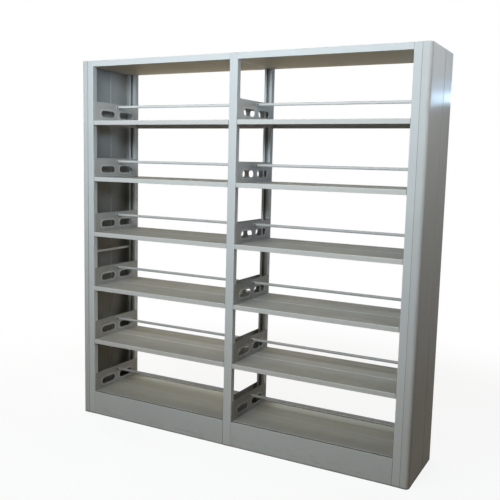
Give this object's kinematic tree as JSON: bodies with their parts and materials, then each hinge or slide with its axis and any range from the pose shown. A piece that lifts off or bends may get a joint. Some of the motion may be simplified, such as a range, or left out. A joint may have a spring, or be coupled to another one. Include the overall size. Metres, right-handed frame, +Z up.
{
  "type": "double-sided steel book rack",
  "caption": "Free-standing double-sided steel book rack with slotted upright frames, end panels, top covers, kick plates and lift-out shelves on hook-in brackets with book-stop rods.",
  "frame": {"origin": "on the floor under the middle of the rack", "axes": "+X to the right along the bays seen from the front, +Y from the front side to the rear side, +Z up"},
  "size_m": [2.124, 0.45, 2.2],
  "materials": {
    "column_coat": "satin grey powder coat",
    "panel_coat": "satin grey powder coat",
    "cover_coat": "satin grey powder coat",
    "skirt_coat": "satin grey powder coat",
    "deck_coat": "satin grey powder coat, scuffed on top",
    "board_coat": "satin grey powder coat, scuffed on top",
    "bracket_coat": "satin grey powder coat",
    "rod_coat": "semi-gloss grey powder coat"
  },
  "bodies": {
    "rack": {"upright_frame_left": "column_coat", "upright_frame_middle": "column_coat", "upright_frame_right": "column_coat", "end_panel_left": "panel_coat", "end_panel_right": "panel_coat", "top_cover_left": "cover_coat", "skirt_left_front": "skirt_coat", "skirt_left_rear": "skirt_coat", "top_cover_right": "cover_coat", "skirt_right_front": "skirt_coat", "skirt_right_rear": "skirt_coat", "deck_left": "deck_coat", "bracket_left_0_left": "bracket_coat", "bracket_left_0_right": "bracket_coat", "rod_left_0": "rod_coat", "deck_right": "deck_coat", "bracket_right_0_left": "bracket_coat", "bracket_right_0_right": "bracket_coat", "rod_right_0": "rod_coat"},
    "level_left_1": {"shelf_left_1": "board_coat", "bracket_left_1_left": "bracket_coat", "bracket_left_1_right": "bracket_coat", "rod_left_1": "rod_coat"},
    "level_left_2": {"shelf_left_2": "board_coat", "bracket_left_2_left": "bracket_coat", "bracket_left_2_right": "bracket_coat", "rod_left_2": "rod_coat"},
    "level_left_3": {"shelf_left_3": "board_coat", "bracket_left_3_left": "bracket_coat", "bracket_left_3_right": "bracket_coat", "rod_left_3": "rod_coat"},
    "level_left_4": {"shelf_left_4": "board_coat", "bracket_left_4_left": "bracket_coat", "bracket_left_4_right": "bracket_coat", "rod_left_4": "rod_coat"},
    "level_left_5": {"shelf_left_5": "board_coat", "bracket_left_5_left": "bracket_coat", "bracket_left_5_right": "bracket_coat", "rod_left_5": "rod_coat"},
    "level_right_1": {"shelf_right_1": "board_coat", "bracket_right_1_left": "bracket_coat", "bracket_right_1_right": "bracket_coat", "rod_right_1": "rod_coat"},
    "level_right_2": {"shelf_right_2": "board_coat", "bracket_right_2_left": "bracket_coat", "bracket_right_2_right": "bracket_coat", "rod_right_2": "rod_coat"},
    "level_right_3": {"shelf_right_3": "board_coat", "bracket_right_3_left": "bracket_coat", "bracket_right_3_right": "bracket_coat", "rod_right_3": "rod_coat"},
    "level_right_4": {"shelf_right_4": "board_coat", "bracket_right_4_left": "bracket_coat", "bracket_right_4_right": "bracket_coat", "rod_right_4": "rod_coat"},
    "level_right_5": {"shelf_right_5": "board_coat", "bracket_right_5_left": "bracket_coat", "bracket_right_5_right": "bracket_coat", "rod_right_5": "rod_coat"}
  },
  "joints": [
    {"name": "lift_left_1", "type": "slide", "parent": "rack", "child": "level_left_1", "axis": [0, 0, 1], "range_m": [0, 0.012]},
    {"name": "lift_left_2", "type": "slide", "parent": "rack", "child": "level_left_2", "axis": [0, 0, 1], "range_m": [0, 0.012]},
    {"name": "lift_left_3", "type": "slide", "parent": "rack", "child": "level_left_3", "axis": [0, 0, 1], "range_m": [0, 0.012]},
    {"name": "lift_left_4", "type": "slide", "parent": "rack", "child": "level_left_4", "axis": [0, 0, 1], "range_m": [0, 0.012]},
    {"name": "lift_left_5", "type": "slide", "parent": "rack", "child": "level_left_5", "axis": [0, 0, 1], "range_m": [0, 0.012]},
    {"name": "lift_right_1", "type": "slide", "parent": "rack", "child": "level_right_1", "axis": [0, 0, 1], "range_m": [0, 0.012]},
    {"name": "lift_right_2", "type": "slide", "parent": "rack", "child": "level_right_2", "axis": [0, 0, 1], "range_m": [0, 0.012]},
    {"name": "lift_right_3", "type": "slide", "parent": "rack", "child": "level_right_3", "axis": [0, 0, 1], "range_m": [0, 0.012]},
    {"name": "lift_right_4", "type": "slide", "parent": "rack", "child": "level_right_4", "axis": [0, 0, 1], "range_m": [0, 0.012]},
    {"name": "lift_right_5", "type": "slide", "parent": "rack", "child": "level_right_5", "axis": [0, 0, 1], "range_m": [0, 0.012]}
  ]
}
